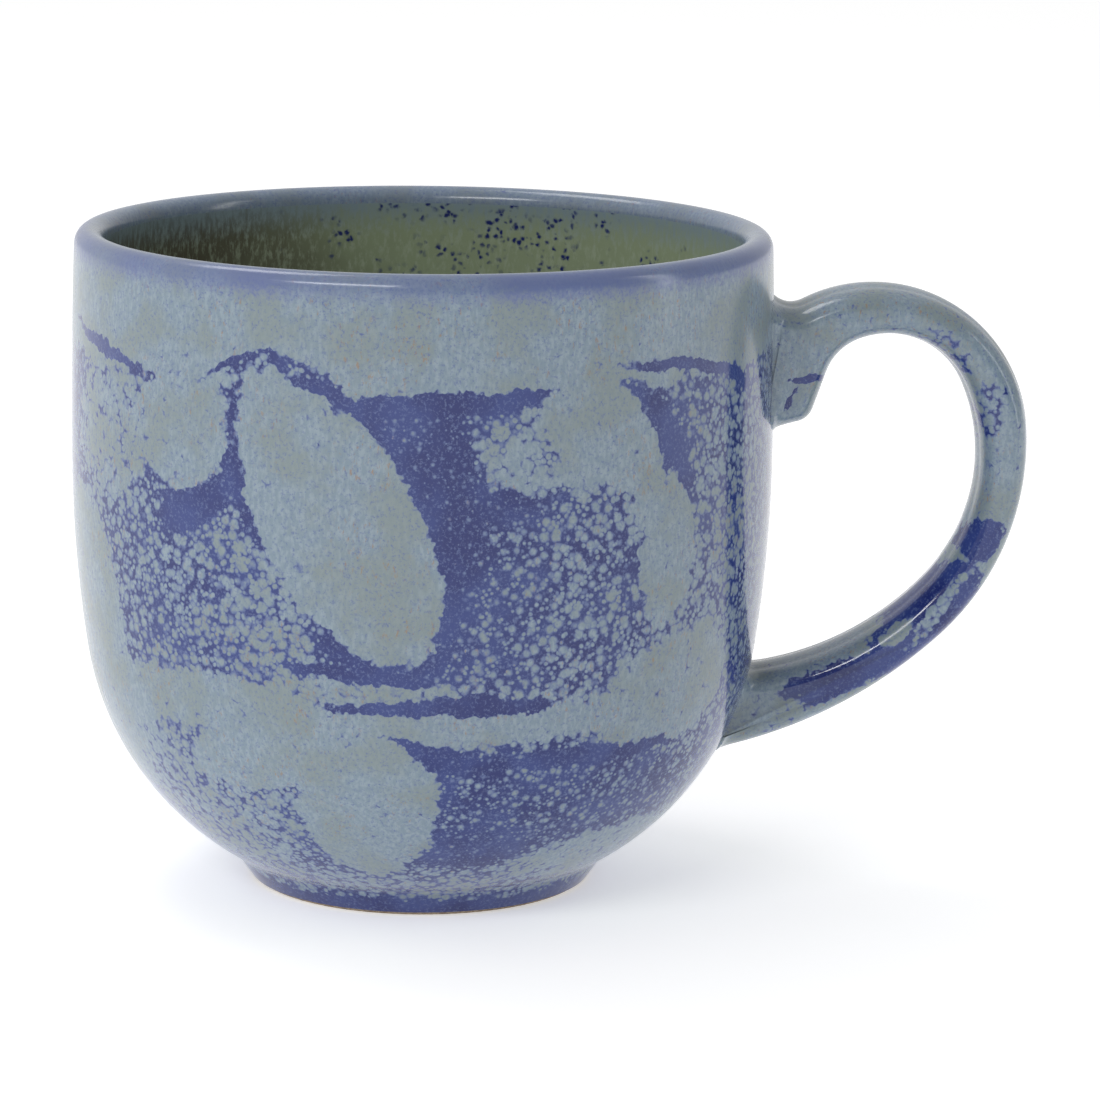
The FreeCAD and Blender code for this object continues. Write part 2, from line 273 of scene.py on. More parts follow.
# the spacing of the outline's points, an arc's fewest, and the points of a straight run
ARC_STEP = 0.3125
FEWEST_POINTS = 4
RUN_POINTS = 6
SAME_PLACE = 0.01
# the rounded sides of the strap, and how far its wide faces swell out
EDGE_INSET = 2.4
EDGE_DEPTH = 3.7
EDGE_RINGS = 12
FACE_RINGS = 5
FACE_CROWN = 0.3
# the weld round the roots; past a depth in the wall, the roots are squeezed short of its inside
WELD_FILLET = 2.2
ROOT_DEPTH = 1.0
ROOT_SQUEEZE = 0.8


def strap_outline(inset, counts):
    """The side outline drawn in by inset, always with the same number of points."""
    centres = [centre_of(STRAP, index) for index in range(len(STRAP))]
    radii = [arc.signed_radius - inset for arc in STRAP]
    joins = []
    for one, arc in enumerate(STRAP):
        other = (one + 1) % len(STRAP)
        joins.append(shared_normal(centres[one], centres[other], radii[one], radii[other]))
    points = []
    for index, arc in enumerate(STRAP):
        turn = 0.0 if arc.turn == CONVEX else math.pi
        sweep = swept(arc.turn, joins[index - 1] + turn, joins[index] + turn)
        angles = joins[index - 1] + np.linspace(0.0, sweep, counts[index])
        points += [polar(centres[index], radii[index], angle) for angle in angles]
        start = points[-1]
        following = (index + 1) % len(STRAP)
        end = polar(centres[following], radii[following], joins[index])
        points += [start + (end - start) * share for share in np.linspace(0, 1, RUN_POINTS)[1:-1]]
    return np.array(points)


def strap_counts():
    """How many points each arc gets, which is enough for a turn of about a radian."""
    return [max(FEWEST_POINTS, math.ceil(abs(arc.signed_radius) / ARC_STEP)) for arc in STRAP]


def cup_radius(z):
    """The cup coat's radius at each height, in millimetres."""
    lean = bowl[1] + BOWL_ARC * math.sin(bowl_start)
    upper = shoulder[0] + np.sqrt(SHOULDER_ARC**2 - (z - BELLY_Z) ** 2)
    middle = flank[0] + np.sqrt(FLANK_ARC**2 - (z - BELLY_Z) ** 2)
    lower = bowl[0] + np.sqrt(np.maximum(BOWL_ARC**2 - (z - BOWL_Z) ** 2, 0.0))
    return np.where(z > BELLY_Z, upper, np.where(z > lean, middle, lower))


def welded(points):
    """Widens the strap where it meets the cup, as the smoothed slip does, and ends it in the wall."""
    x, y, z = points.T
    wall = cup_radius(z)
    too_deep = np.sqrt(wall**2 - y**2) - ROOT_DEPTH - x
    x = x + ROOT_SQUEEZE * np.maximum(too_deep, 0.0)
    gap = np.hypot(x, y) - wall
    closeness = np.clip(WELD_FILLET - gap, 0.0, WELD_FILLET)
    spread = WELD_FILLET - np.sqrt(WELD_FILLET**2 - closeness**2)
    half_width = STRAP_HALF_WIDTH / MM
    widened = y + spread * y / half_width
    return np.stack((x, widened, z), axis=1)


def edge_profile():
    """How far in and how far across each ring of the strap's section is."""
    half_width = STRAP_HALF_WIDTH / MM
    flat = half_width - EDGE_DEPTH
    rings = []
    for turn in np.linspace(0.0, math.pi / 2, EDGE_RINGS + 1)[::-1]:
        inset = EDGE_INSET * (1 - math.cos(turn))
        rings.append((inset, flat + EDGE_DEPTH * math.sin(turn)))
    face = [
        (FACE_CROWN * ((across / flat) ** 2 - 1), across)
        for across in np.linspace(flat, 0.0, FACE_RINGS + 1)[1:]
    ]
    one_side = rings + face
    return one_side + [(inset, -across) for inset, across in one_side[-2::-1]]


def make_handle_coat():
    counts = strap_counts()
    rows = []
    for inset, across in edge_profile():
        outline = strap_outline(inset, counts)
        flat = np.full(len(outline), across)
        rows.append(welded(np.stack((outline[:, 0], flat, outline[:, 1]), axis=1)))
    size = len(rows[0])
    faces = ring_faces(len(rows), size)
    faces.append(tuple(range(size))[::-1])
    faces.append(tuple(range((len(rows) - 1) * size, len(rows) * size)))
    mesh = bpy.data.meshes.new("handle_coat")
    mesh.from_pydata((np.concatenate(rows) * MM).tolist(), [], faces)
    joined = bmesh.new()
    joined.from_mesh(mesh)
    bmesh.ops.remove_doubles(joined, verts=joined.verts, dist=SAME_PLACE * MM)
    bmesh.ops.recalc_face_normals(joined, faces=joined.faces)
    joined.to_mesh(mesh)
    joined.free()
    mesh.polygons.foreach_set("use_smooth", [True] * len(mesh.polygons))
    return placed("handle_coat", mesh)


# ---------------------------------------------------------------------------------------------
# node materials


def linear(red, green, blue):
    """A colour given from 0 to 255, as the shader's linear one."""

    def channel(level):
        level /= 255
        return level / 12.92 if level <= 0.04045 else ((level + 0.055) / 1.055) ** 2.4

    return channel(red), channel(green), channel(blue), 1.0


# so large a scale that a coordinate makes no difference
UNSEEN = 1e6


class Shader:
    """A material's nodes, with a short call for each kind that the glazes use."""

    def __init__(self, name):
        self.material = bpy.data.materials.new(name)
        self.material.use_nodes = True
        self.tree = self.material.node_tree
        self.surface = self.tree.nodes["Principled BSDF"]
        self.place = self.node("ShaderNodeTexCoord").outputs["Object"]

    def node(self, kind, **settings):
        made = self.tree.nodes.new(kind)
        for name, setting in settings.items():
            setattr(made, name, setting)
        return made

    def feed(self, socket, source):
        if isinstance(source, bpy.types.NodeSocket):
            self.tree.links.new(source, socket)
        else:
            socket.default_value = source

    def math(self, operation, *sources):
        made = self.node("ShaderNodeMath", operation=operation)
        for socket, source in zip(made.inputs, sources):
            self.feed(socket, source)
        return made.outputs[0]

    def vector(self, operation, *sources):
        made = self.node("ShaderNodeVectorMath", operation=operation)
        for socket, source in zip(made.inputs, sources):
            self.feed(socket, source)
        return made.outputs["Value" if operation in ("LENGTH", "DISTANCE") else "Vector"]

    def split(self, vector):
        made = self.node("ShaderNodeSeparateXYZ")
        self.feed(made.inputs[0], vector)
        return made.outputs

    def join(self, x, y, z):
        made = self.node("ShaderNodeCombineXYZ")
        for socket, source in zip(made.inputs, (x, y, z)):
            self.feed(socket, source)
        return made.outputs[0]

    def fade(self, source, first, last):
        """0 where source is at first, 1 where it is at last, smooth in between."""
        made = self.node("ShaderNodeMapRange", interpolation_type="SMOOTHSTEP")
        for socket, level in zip(made.inputs, (source, first, last)):
            self.feed(socket, level)
        return made.outputs[0]

    def share(self, source, first, last, most):
        """0 where source is at first, most where it is at last, smooth in between."""
        return self.math("MULTIPLY", self.fade(source, first, last), most)

    def blend(self, share, first, second):
        """A plain number that goes from first to second."""
        made = self.node("ShaderNodeMix", data_type="FLOAT")
        for socket, source in zip((0, 2, 3), (share, first, second)):
            self.feed(made.inputs[socket], source)
        return made.outputs[0]

    def tint(self, share, first, second):
        """A colour that goes from first to second."""
        made = self.node("ShaderNodeMix", data_type="RGBA")
        for socket, source in zip((0, 6, 7), (share, first, second)):
            self.feed(made.inputs[socket], source)
        return made.outputs[2]

    def noise(self, place, size, detail=2.0, roughness=0.5):
        """A cloudy pattern whose features are about size across, in metres."""
        made = self.node("ShaderNodeTexNoise")
        self.feed(made.inputs["Vector"], place)
        self.feed(made.inputs["Scale"], 1.0 / size)
        self.feed(made.inputs["Detail"], detail)
        self.feed(made.inputs["Roughness"], roughness)
        return made.outputs

    def cells(self, place, size):
        """The distance to the nearest of many points about size apart, 0 at a point."""
        made = self.node("ShaderNodeTexVoronoi", feature="SMOOTH_F1")
        self.feed(made.inputs["Vector"], place)
        self.feed(made.inputs["Scale"], 1.0 / size)
        self.feed(made.inputs["Smoothness"], 0.15)
        return made.outputs["Distance"]

    def stretched(self, place, x, y, z):
        return self.vector("MULTIPLY", place, (x, y, z))

    def around(self):
        """The place without its height, so that a pattern on it runs straight down."""
        return self.stretched(self.place, 1.0, 1.0, 0.0)

    def height(self):
        return self.split(self.place)[2]

    def wandering(self, place, size, amount):
        """The place, shifted about by up to half of amount in each direction."""
        drift = self.noise(place, size, detail=3.0)["Color"]
        centred = self.vector("SUBTRACT", drift, (0.5, 0.5, 0.5))
        return self.vector("ADD", place, self.vector("MULTIPLY", centred, (amount,) * 3))

    def patch(self, place, centre, size, tilt, level, edge):
        """Brings the paleness that place carries as its third number to level, in a tilted oval."""
        made = self.node("ShaderNodeMapping", vector_type="TEXTURE")
        self.feed(made.inputs["Vector"], place)
        self.feed(made.inputs["Location"], (centre[0], centre[1], 0.0))
        self.feed(made.inputs["Rotation"], (0.0, 0.0, math.radians(tilt)))
        self.feed(made.inputs["Scale"], (size[0], size[1], UNSEEN))
        reach = self.vector("LENGTH", made.outputs[0])
        levelled = self.vector("MULTIPLY_ADD", place, (1.0, 1.0, 0.0), (0.0, 0.0, level))
        mixed = self.node("ShaderNodeMix", data_type="VECTOR")
        sources = (self.fade(reach, 1.0 + edge, 1.0 - edge), place, levelled)
        for socket, source in zip((0, 4, 5), sources):
            self.feed(mixed.inputs[socket], source)
        return mixed.outputs[1]

    def bumps(self, height, depth, strength=1.0):
        made = self.node("ShaderNodeBump")
        self.feed(made.inputs["Height"], height)
        self.feed(made.inputs["Distance"], depth)
        self.feed(made.inputs["Strength"], strength)
        self.feed(self.surface.inputs["Normal"], made.outputs[0])

    def finish(self, colour, roughness, ior=None):
        self.feed(self.surface.inputs["Base Color"], colour)
        self.feed(self.surface.inputs["Roughness"], roughness)
        if ior:
            self.feed(self.surface.inputs["IOR"], ior)
        return self.material


# the glazes' colours
COBALT_DEEP = linear(28, 40, 104)
COBALT = linear(48, 64, 126)
COBALT_PALE = linear(94, 110, 152)
MIST = linear(124, 142, 155)
MIST_LIGHT = linear(140, 156, 167)
MIST_OLIVE = linear(127, 139, 137)
VIOLET = linear(100, 112, 158)
OCHRE = linear(150, 116, 84)
OLIVE = linear(144, 157, 129)
# the inside's -X side: a browner olive, darkened further with painted shade
OLIVE_BROWN_IN_PAINTED_SHADE = linear(84, 80, 68)
OLIVE_PALE = linear(166, 178, 158)
CLAY = linear(176, 160, 138)
CLAY_DARK = linear(132, 114, 96)

GLASS_IOR = 1.52

# the spacing of the glaze's dots, and the size of its clouds, runs and grains
BIG_DOTS = 1.35 * MM
SMALL_DOTS = 0.72 * MM
CLOUDS = 7 * MM
RUSTY_CLOUDS = 9 * MM
RUNS = 0.45 * MM
GRIT = 0.35 * MM
BLUE_GRAINS = 0.4 * MM
RUST_GRAINS = 0.5 * MM
# how much the runs and rust are drawn out downwards
DRAWN_OUT = 0.4

# the glaze is pale within DOT_REACH of a dot's middle, counted in spacings, and a small dot
# reaches a little less far; the grit blurs that, and ISLAND_EDGE is the fade where an island ends
DOT_REACH = 0.36
SMALL_DOT_LAG = 0.03
DOT_WEIGHT = 1.1
GRIT_WEIGHT = 0.26
ISLAND_EDGE = (0.28, 0.72)


def floating_islands(shader, paleness):
    """How far the overglaze covers the cobalt, in round dots that merge where it is pale."""
    shaky = shader.wandering(shader.place, 1.1 * MM, 0.3 * MM)
    big = shader.cells(shaky, BIG_DOTS)
    small = shader.math("ADD", shader.cells(shaky, SMALL_DOTS), SMALL_DOT_LAG)
    inside = shader.math("SUBTRACT", DOT_REACH, shader.math("MINIMUM", big, small))
    grit = shader.noise(shader.place, GRIT, detail=3.0, roughness=0.65)["Fac"]
    lift = shader.math("MULTIPLY_ADD", inside, DOT_WEIGHT, paleness)
    lift = shader.math("MULTIPLY_ADD", shader.math("SUBTRACT", grit, 0.5), GRIT_WEIGHT, lift)
    return shader.fade(lift, *ISLAND_EDGE)


def overglaze(shader, cloud):
    """The pale glaze: grey-blue with lighter runs, and olive where the clouds are."""
    drawn = shader.stretched(shader.place, 1.0, 1.0, DRAWN_OUT)
    runs = shader.noise(drawn, RUNS, detail=3.0)["Fac"]
    mist = shader.tint(shader.fade(runs, 0.38, 0.66), MIST, MIST_LIGHT)
    return shader.tint(shader.share(cloud, 0.42, 0.62, 0.7), mist, MIST_OLIVE)


def with_grains(shader, colour, island):
    """The colour with blue grains all over it, and rusty ones on the islands."""
    blue = shader.noise(shader.place, BLUE_GRAINS, detail=3.0, roughness=0.75)["Fac"]
    colour = shader.tint(shader.share(blue, 0.5, 0.68, 0.75), colour, COBALT_PALE)
    drawn = shader.stretched(shader.place, 1.0, 1.0, DRAWN_OUT)
    rust = shader.noise(drawn, RUST_GRAINS, detail=3.0, roughness=0.75)["Fac"]
    rusty_cloud = shader.noise(shader.place, RUSTY_CLOUDS, detail=1.0)["Fac"]
    rusty = shader.math("MULTIPLY", shader.fade(rust, 0.57, 0.7), island)
    rusty = shader.math("MULTIPLY", rusty, shader.share(rusty_cloud, 0.42, 0.6, 0.65))
    return shader.tint(rusty, colour, OCHRE)


def glaze_colours(shader, paleness, violet_share):
    """Pale overglaze floating in islands on cobalt.  Returns the colour and how pale it is."""
    island = floating_islands(shader, paleness)
    cloud = shader.noise(shader.place, CLOUDS, detail=3.0)["Fac"]
    deep = shader.tint(shader.fade(cloud, 0.35, 0.65), COBALT_DEEP, COBALT)
    shore = shader.tint(shader.fade(island, 0.0, 0.5), deep, COBALT_PALE)
    colour = shader.tint(shader.fade(island, 0.35, 1.0), shore, overglaze(shader, cloud))
    colour = with_grains(shader, colour, island)
    return shader.tint(violet_share, colour, VIOLET), island


def rippled(shader):
    """The gentle unevenness of melted glaze."""
    ripple = shader.noise(shader.place, 2.6 * MM, detail=2.0)["Fac"]
    shader.bumps(ripple, 0.05 * MM, strength=0.6)


def gloss_and_relief(shader, island, colour):
    """The glassy top of the glaze, rippled and a little duller where the overglaze floats."""
    rippled(shader)
    return shader.finish(colour, shader.blend(island, 0.07, 0.2), GLASS_IOR)


# patches of the cup's coat: angle round from the front in degrees, height, half width and half
# height in millimetres, tilt in degrees, how pale the glaze is there, and how soft its edge is.
# Later ones lie over earlier ones.
CUP_PATCHES = (
    # speckled fields
    (-40, 46, 24, 18, 0, 0.56, 0.3),
    (-24, 44, 8, 9, 20, 0.66, 0.4),
    (20, 46, 15, 15, 0, 0.46, 0.3),
    (28, 40, 9, 9, 0, 0.56, 0.4),
    (56, 50, 10, 19, 0, 0.6, 0.3),
    # cobalt pools right of the great oval
    (0, 63, 6, 6.5, 20, 0.27, 0.35),
    (4, 53, 4.4, 13, 0, 0.22, 0.3),
    (12, 56.5, 6, 2.6, 0, 0.24, 0.35),
    (-38, 55, 6, 2.4, 25, 0.04, 0.3),
    (-31, 63, 2.6, 5, 0, 0.08, 0.3),
    # the great oval and its rim
    (-13.0, 54.4, 10.8, 21.4, 30, 0.06, 0.14),
    (-21, 45, 3.6, 6, 30, 0.66, 0.35),
    (-13.4, 54.8, 9.6, 20.0, 30, 1.05, 0.06),
    # the tongue left of it
    (-41, 65, 7.5, 8.5, 0, 0.95, 0.12),
    (-60, 62, 9, 9, 30, 0.78, 0.25),
    # the crescent on the right, in the crook of a dark line
    (35, 58.5, 8.6, 13.5, 24, 0.12, 0.14),
    (20, 63, 9, 5, 0, 0.76, 0.25),
    (30, 62.5, 6.6, 12.5, 32, 1.0, 0.1),
    (42, 49.5, 4.6, 9.5, 0, 0.98, 0.1),
    (27, 52, 6.5, 6.5, 0, 0.56, 0.3),
    # the pale belt and the dark strokes along it
    (-20, 30, 44, 4.0, 0, 0.98, 0.25),
    (46, 31, 12, 7.5, 15, 0.95, 0.2),
    (3.5, 31.9, 14.5, 1.25, 0, 0.0, 0.3),
    (-9, 33.7, 10.5, 1.3, 0, 0.82, 0.3),
    (-9, 35.5, 9.5, 0.9, -4, 0.04, 0.3),
    # the far left flank
    (-72, 38, 11, 15, 0, 1.0, 0.12),
    (-66, 25, 12, 9, 0, 0.98, 0.2),
    # below the belt: fine speckle on the left, cobalt on the right, a pale oval between
    (-44, 15.5, 15, 9.5, 0, 0.68, 0.25),
    (25, 16.5, 25, 9.5, -4, 0.42, 0.15),
    (1, 25.2, 9.5, 1.6, -12, 0.16, 0.3),
    (30, 24.2, 16, 1.0, 0, 0.1, 0.35),
    (8, 12, 13, 3.0, 0, 0.28, 0.35),
    (-10, 17.5, 10.5, 9.6, 35, 1.0, 0.08),
    (-27, 24.5, 12, 4.4, 12, 1.0, 0.15),
    (0, 5.5, 140, 2.2, 0, 0.62, 0.5),
    (50, 9, 22, 4, 0, 0.85, 0.3),
    # dark strokes under the upper band
    (-61, 71.7, 10.5, 0.8, -11, 0.08, 0.5),
    (-29.8, 72.7, 3.6, 0.6, 24, 0.1, 0.5),
    (-23, 73.2, 2.2, 0.5, -30, 0.1, 0.5),
    (-15, 69.8, 5, 0.9, -22, 0.02, 0.4),
    (3, 68.7, 13, 1.3, 4, 0.0, 0.35),
    (44, 71.7, 8, 0.8, -8, 0.06, 0.45),
    (57, 69.8, 6, 0.8, -18, 0.06, 0.45),
    # round the back
    (118, 28.5, 28, 4.2, 3, 0.98, 0.25),
    (-118, 30, 22, 4.2, -10, 0.98, 0.25),
    (-150, 38, 10, 7, 40, 0.9, 0.2),
    (160, 61, 7, 7.5, 15, 0.24, 0.35),
    (132, 52, 11, 21, -28, 0.08, 0.14),
    (131.4, 52.4, 9.8, 19.6, -28, 1.03, 0.07),
    (-160, 55, 8.6, 15, 26, 0.1, 0.14),
    (-163, 58.5, 5.4, 12, 32, 1.0, 0.1),
    (-112, 62, 8.5, 9.5, 10, 0.95, 0.12),
    (-125, 49, 5, 9, -20, 0.2, 0.3),
    (98, 62, 6, 8, 15, 0.9, 0.15),
    (108, 16.5, 12, 7.5, -28, 1.0, 0.1),
    (-132, 17, 15, 6.0, -24, 1.0, 0.12),
    (160, 17, 10, 5, 0, 0.26, 0.3),
    (146, 33.5, 13, 1.2, -4, 0.03, 0.35),
    (-100, 35.5, 12, 1.1, 5, 0.05, 0.35),
    (160, 70.4, 9, 0.9, 7, 0.05, 0.4),
    (-138, 71.0, 13, 0.9, -6, 0.05, 0.4),
    (100, 71.4, 8, 0.8, 10, 0.06, 0.45),
)
# the upper band's edge and its wave, the pool round the foot and the lip's violet, all heights
BAND_EDGE_Z = 70.0
BAND_WAVE = 4.4
FOOT_POOL_Z = 2.1
LIP_BAND_Z = 80.6
ALL_PALE = 1.05
ALL_COBALT = -0.1


def wrapped(shader, place, paleness):
    """The flat pattern place: distance round the belly from the front, height, and paleness."""
    x, y, z = shader.split(place)
    angle = shader.math("ARCTAN2", x, shader.math("MULTIPLY", y, -1.0))
    return shader.join(shader.math("MULTIPLY", angle, BELLY), z, paleness)


def with_band(shader, jagged, wave, drips):
    """How pale the glaze starts out: cloudy, and all pale above the upper band's dripping edge."""
    edge = shader.math("MULTIPLY_ADD", wave, BAND_WAVE * MM, (BAND_EDGE_Z - BAND_WAVE) * MM)
    edge = shader.math("MULTIPLY_ADD", drips, BAND_WAVE * MM, edge)
    above = shader.math("SUBTRACT", shader.split(jagged)[2], edge)
    cloudy = shader.blend(shader.noise(shader.place, 12 * MM)["Fac"], 0.34, 0.68)
    return shader.blend(shader.fade(above, -0.3 * MM, 0.5 * MM), cloudy, ALL_PALE)


def with_foot_pool(shader, paleness, wave, drips):
    """The paleness, with cobalt pooled round the foot up to a jagged edge."""
    edge = shader.math("MULTIPLY_ADD", drips, -2.2 * MM, (FOOT_POOL_Z + 2.0) * MM)
    edge = shader.math("MULTIPLY_ADD", wave, -1.6 * MM, edge)
    under = shader.math("SUBTRACT", edge, shader.height())
    return shader.blend(shader.fade(under, -0.15 * MM, 0.2 * MM), paleness, ALL_COBALT)


def lip_violet(shader, wave):
    """How violet the glaze is: only on the lip, and most on its outer side."""
    fuzz = shader.noise(shader.place, 0.8 * MM, detail=4.0, roughness=0.75)["Fac"]
    fuzzy_z = shader.math("MULTIPLY_ADD", fuzz, 5.0 * MM, shader.height())
    lip = shader.fade(fuzzy_z, (LIP_BAND_Z + 1.6) * MM, (LIP_BAND_Z + 4.4) * MM)
    from_axis = shader.vector("LENGTH", shader.around())
    outer_side = shader.fade(from_axis, BELLY - (WALL - 0.8) * MM, BELLY - 1.2 * MM)
    outer_strength = shader.blend(shader.fade(wave, 0.3, 0.6), 0.45, 0.85)
    return shader.math("MULTIPLY", lip, shader.blend(outer_side, 0.25, outer_strength))


def cup_coat_material():
    shader = Shader("reactive_glaze")
    wavy = shader.wandering(shader.place, 5 * MM, 3.2 * MM)
    jagged = shader.wandering(wavy, 1.2 * MM, 1.3 * MM)
    wave = shader.noise(shader.around(), 17 * MM, detail=1.0)["Fac"]
    drips = shader.noise(shader.around(), 1.6 * MM, detail=2.0)["Fac"]
    painted = wrapped(shader, jagged, with_band(shader, jagged, wave, drips))
    for degrees, z, across, up, tilt, level, edge in CUP_PATCHES:
        centre = (math.radians(degrees) * BELLY, z * MM)
        painted = shader.patch(painted, centre, (across * MM, up * MM), tilt, level, edge)
    paleness = with_foot_pool(shader, shader.split(painted)[2], wave, drips)
    colour, island = glaze_colours(shader, paleness, lip_violet(shader, wave))
    return gloss_and_relief(shader, island, colour)


# patches of the handle's coat, in its side view: distance from the cup's axis and height, half
# sizes in millimetres, tilt in degrees, paleness and softness
HANDLE_PATCHES = (
    (60, 73, 10, 2.2, 0, 0.9, 0.3),
    (66, 69, 4, 2.5, -40, 0.6, 0.4),
    (71.5, 62, 2.5, 4, -10, 0.62, 0.4),
    (71.0, 45.5, 3.2, 2.2, 40, 0.0, 0.25),
    (64, 35, 10, 3.4, 48, 0.1, 0.2),
    (52, 26.6, 8, 2.2, 22, 0.14, 0.25),
    # the next two: thin pale strokes along the middle of the lower strap, a painted highlight where a
    # soft box's reflection runs
    (60.5, 33.0, 2.6, 1.0, 40, 0.95, 0.3),
    (66, 36.5, 7, 0.9, 52, 0.7, 0.3),
    (45, 22.5, 4.5, 2.6, 15, 0.85, 0.3),
    (48.6, 66.0, 2.6, 0.45, 5, 0.0, 0.4),
    (46.2, 63.4, 0.45, 1.6, -25, 0.0, 0.4),
    (48.4, 62.8, 2.2, 2.2, 0, 0.9, 0.3),
)


def handle_coat_material():
    shader = Shader("handle_glaze")
    wavy = shader.wandering(shader.place, 4 * MM, 2.0 * MM)
    jagged = shader.wandering(wavy, 1.0 * MM, 0.8 * MM)
    start = shader.blend(shader.noise(shader.place, 6 * MM)["Fac"], 0.8, 1.15)
    x, _, z = shader.split(jagged)
    painted = shader.join(x, z, start)
    for x_mm, z_mm, along, up, tilt, level, edge in HANDLE_PATCHES:
        centre = (x_mm * MM, z_mm * MM)
        painted = shader.patch(painted, centre, (along * MM, up * MM), tilt, level, edge)
    paleness = shader.split(painted)[2]
    colour, island = glaze_colours(shader, paleness, 0.0)
    return gloss_and_relief(shader, island, colour)


# where the flecks of cobalt crowd together on the inside wall
FLECKED_SPOT = Vector((12.0, 38.0, 75.0)) * MM


def liner_material():
    """Olive green inside, dark brown towards the -X wall (partly a browner glaze, partly painted
    shade on the wall turned from the light), grey-blue and fuzzy under the lip, with violet flecks on
    the wall.
    """
    shader = Shader("liner_glaze")
    place = shader.place
    cloud = shader.noise(place, 14 * MM, detail=3.0)["Fac"]
    # painted shade with a browner glaze: dark brown on the -X side of the inside, where that wall is
    # turned from the light, going to lit olive on the +X side
    lit_green_side = shader.math("MULTIPLY_ADD", cloud, 30 * MM, shader.split(place)[0])
    olive = shader.tint(shader.fade(lit_green_side, -16 * MM, 14 * MM), OLIVE_BROWN_IN_PAINTED_SHADE, OLIVE)
    drawn = shader.stretched(place, 1.0, 1.0, DRAWN_OUT)
    grain = shader.noise(drawn, 0.7 * MM, detail=4.0, roughness=0.7)["Fac"]
    colour = shader.tint(shader.share(grain, 0.45, 0.68, 0.55), olive, OLIVE_PALE)
    fuzzy_height = shader.math("MULTIPLY_ADD", grain, 7 * MM, shader.height())
    near_lip = shader.fade(fuzzy_height, 80.5 * MM, 87 * MM)
    colour = shader.tint(near_lip, colour, MIST)
    flecks = shader.cells(shader.wandering(place, 1.2 * MM, 1.2 * MM), 1.0 * MM)
    away = shader.vector("DISTANCE", place, FLECKED_SPOT)
    crowd = shader.noise(place, 5 * MM, detail=3.0)["Fac"]
    crowd = shader.math("MULTIPLY_ADD", away, -7.0, crowd)
    crowded = shader.fade(crowd, 0.36, 0.5)
    flecked = shader.math("MULTIPLY", shader.fade(flecks, 0.5, 0.15), crowded)
    colour = shader.tint(flecked, colour, COBALT_DEEP)
    rippled(shader)
    return shader.finish(colour, shader.blend(near_lip, 0.16, 0.22), GLASS_IOR)


def base_material():
    """The cobalt glaze in the hollow of the foot."""
    shader = Shader("base_glaze")
    cloud = shader.noise(shader.place, 5 * MM, detail=3.0)["Fac"]
    paleness = shader.blend(cloud, -0.2, 0.5)
    colour, island = glaze_colours(shader, paleness, 0.0)
    return gloss_and_relief(shader, island, colour)


def clay_material(name, pale, dark):
    """Bare fired stoneware: matte, gritty and faintly spotted with iron."""
    shader = Shader(name)
    grit = shader.noise(shader.place, 0.5 * MM, detail=4.0, roughness=0.7)["Fac"]
    colour = shader.tint(shader.fade(grit, 0.4, 0.65), dark, pale)
    iron = shader.cells(shader.place, 1.4 * MM)
    colour = shader.tint(shader.fade(iron, 0.16, 0.08), colour, OCHRE)
    shader.bumps(grit, 0.08 * MM)
    return shader.finish(colour, shader.blend(grit, 0.65, 0.9))


# ---------------------------------------------------------------------------------------------
# the studio

CAMERA_PLACE = Vector((0.0, -584.4, 161.4)) * MM
CAMERA_PITCH = math.radians(11.5)
CAMERA_YAW = math.radians(1.603)
CAMERA_ROLL = math.radians(0.732)
CAMERA_LENS = 152.46
SENSOR = 36.0
PAPER = (0.9, 0.9, 0.9, 1.0)
PAPER_GLOW = 0.5
# the way that the white surroundings are brightest, and from how far off it to how near it they
# go from their lowest strength to their highest
BRIGHT_SIDE = Vector((-0.72, 0.62, 0.3))
SKY_RANGE = (-0.85, 0.5, 0.03, 0.78)
# where each soft box stands, how wide and high it is, and its power in watts
SOFT_BOXES = {
    "key_box": ((-0.37, -0.71, 0.58), (0.5, 0.1), 2.3),
    "top_box": ((-0.3, 0.3, 0.8), (0.3, 0.3), 1.2),
    "side_box": ((0.8, -0.1, 0.3), (0.1, 0.6), 0.7),
}


def add_camera():
    look = Vector(
        (
            math.sin(CAMERA_YAW) * math.cos(CAMERA_PITCH),
            math.cos(CAMERA_YAW) * math.cos(CAMERA_PITCH),
            -math.sin(CAMERA_PITCH),
        )
    )
    level = Vector((math.cos(CAMERA_YAW), -math.sin(CAMERA_YAW), 0.0))
    upright = level.cross(look)
    right = level * math.cos(CAMERA_ROLL) + upright * math.sin(CAMERA_ROLL)
    up = upright * math.cos(CAMERA_ROLL) - level * math.sin(CAMERA_ROLL)
    camera = bpy.data.objects.new("camera", bpy.data.cameras.new("camera"))
    camera.data.lens = CAMERA_LENS
    camera.data.sensor_width = SENSOR
    camera.data.clip_start = 0.01
    turn = Matrix((right, up, -look)).transposed().to_4x4()
    camera.matrix_world = Matrix.Translation(CAMERA_PLACE) @ turn
    bpy.context.scene.collection.objects.link(camera)
    bpy.context.scene.camera = camera


def add_light(name, place, target, size, power):
    """A soft box at place, facing target."""
    light = bpy.data.lights.new(name, "AREA")
    light.shape = "RECTANGLE"
    light.size, light.size_y = size
    light.energy = power
    lamp = bpy.data.objects.new(name, light)
    lamp.location = place
    lamp.rotation_euler = (Vector(target) - Vector(place)).to_track_quat("-Z", "Y").to_euler()
    bpy.context.scene.collection.objects.link(lamp)


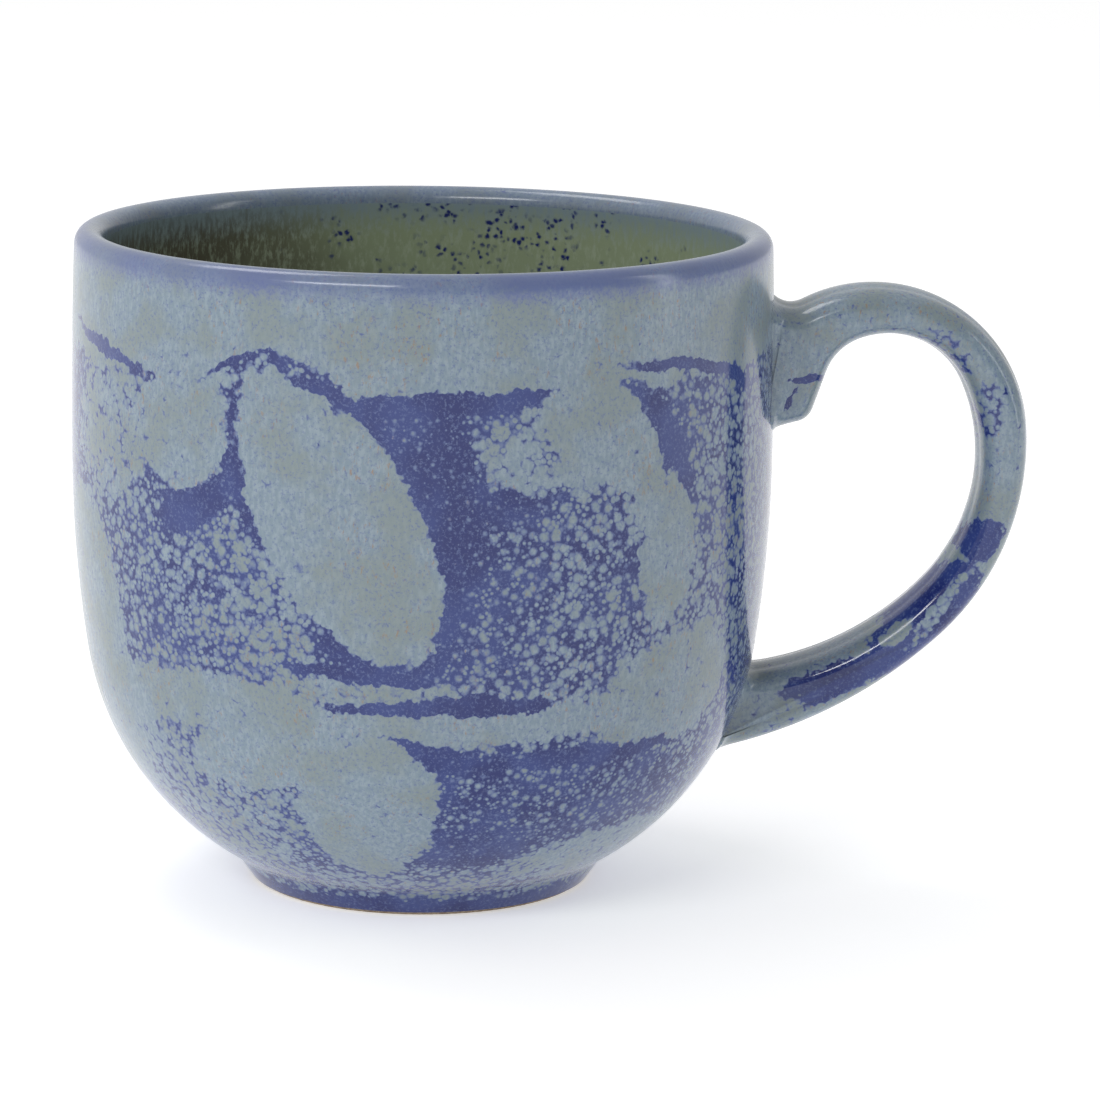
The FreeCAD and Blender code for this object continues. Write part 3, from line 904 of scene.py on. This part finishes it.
def add_surroundings():
    """White surroundings, brightest towards one side."""
    world = bpy.data.worlds.new("studio")
    world.use_nodes = True
    nodes, links = world.node_tree.nodes, world.node_tree.links
    nodes["Background"].inputs["Color"].default_value = (1.0, 1.0, 1.0, 1.0)
    facing = nodes.new("ShaderNodeVectorMath")
    facing.operation = "DOT_PRODUCT"
    facing.inputs[1].default_value = BRIGHT_SIDE
    strength = nodes.new("ShaderNodeMapRange")
    for name, level in zip(("From Min", "From Max", "To Min", "To Max"), SKY_RANGE):
        strength.inputs[name].default_value = level
    links.new(nodes.new("ShaderNodeTexCoord").outputs["Generated"], facing.inputs[0])
    links.new(facing.outputs["Value"], strength.inputs["Value"])
    links.new(strength.outputs[0], nodes["Background"].inputs["Strength"])
    bpy.context.scene.world = world


def add_studio():
    add_surroundings()
    middle = (0.0, 0.0, HEIGHT / 2)
    for name, (place, size, power) in SOFT_BOXES.items():
        add_light(name, place, middle, size, power)
    bpy.context.scene.view_settings.view_transform = "Standard"


def add_floor():
    bpy.ops.mesh.primitive_plane_add(size=6.0, location=(0.0, 0.0, 0.0))
    floor = bpy.context.object
    floor.name = "floor"
    shader = Shader("paper")
    tooth = shader.noise(shader.place, 1.0 * MM)["Fac"]
    shader.bumps(tooth, 0.01 * MM)
    shader.surface.inputs["Emission Color"].default_value = PAPER
    shader.surface.inputs["Emission Strength"].default_value = PAPER_GLOW
    floor.data.materials.append(shader.finish(PAPER, 0.9))


# ---------------------------------------------------------------------------------------------
# the pieces, in their materials

COATS = {
    "reactive_glaze": cup_coat_material(),
    "liner_glaze": liner_material(),
    "handle_glaze": handle_coat_material(),
    "base_glaze": base_material(),
    "stoneware": clay_material("stoneware", CLAY, CLAY_DARK),
    "slip": clay_material("slip", CLAY_DARK, CLAY_DARK),
}


def dress(piece, slot, *nodes):
    """Gives a piece its material, and puts it in the place of the CAD nodes named."""
    piece.data.materials.append(COATS[slot])
    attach(piece, BODY)
    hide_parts(*nodes)


cup_coat, liner_coat = make_cup_coats()
dress(cup_coat, "reactive_glaze", "outer_glaze")
dress(liner_coat, "liner_glaze", "inner_glaze")
dress(make_handle_coat(), "handle_glaze", "handle_glaze", "handle")

for entry in frame["record"]["subparts"]:
    for slot in frame["nodes"][entry["node"]].material_slots:
        slot.material = COATS[entry["material_slot"]]

add_floor()
add_studio()
add_camera()
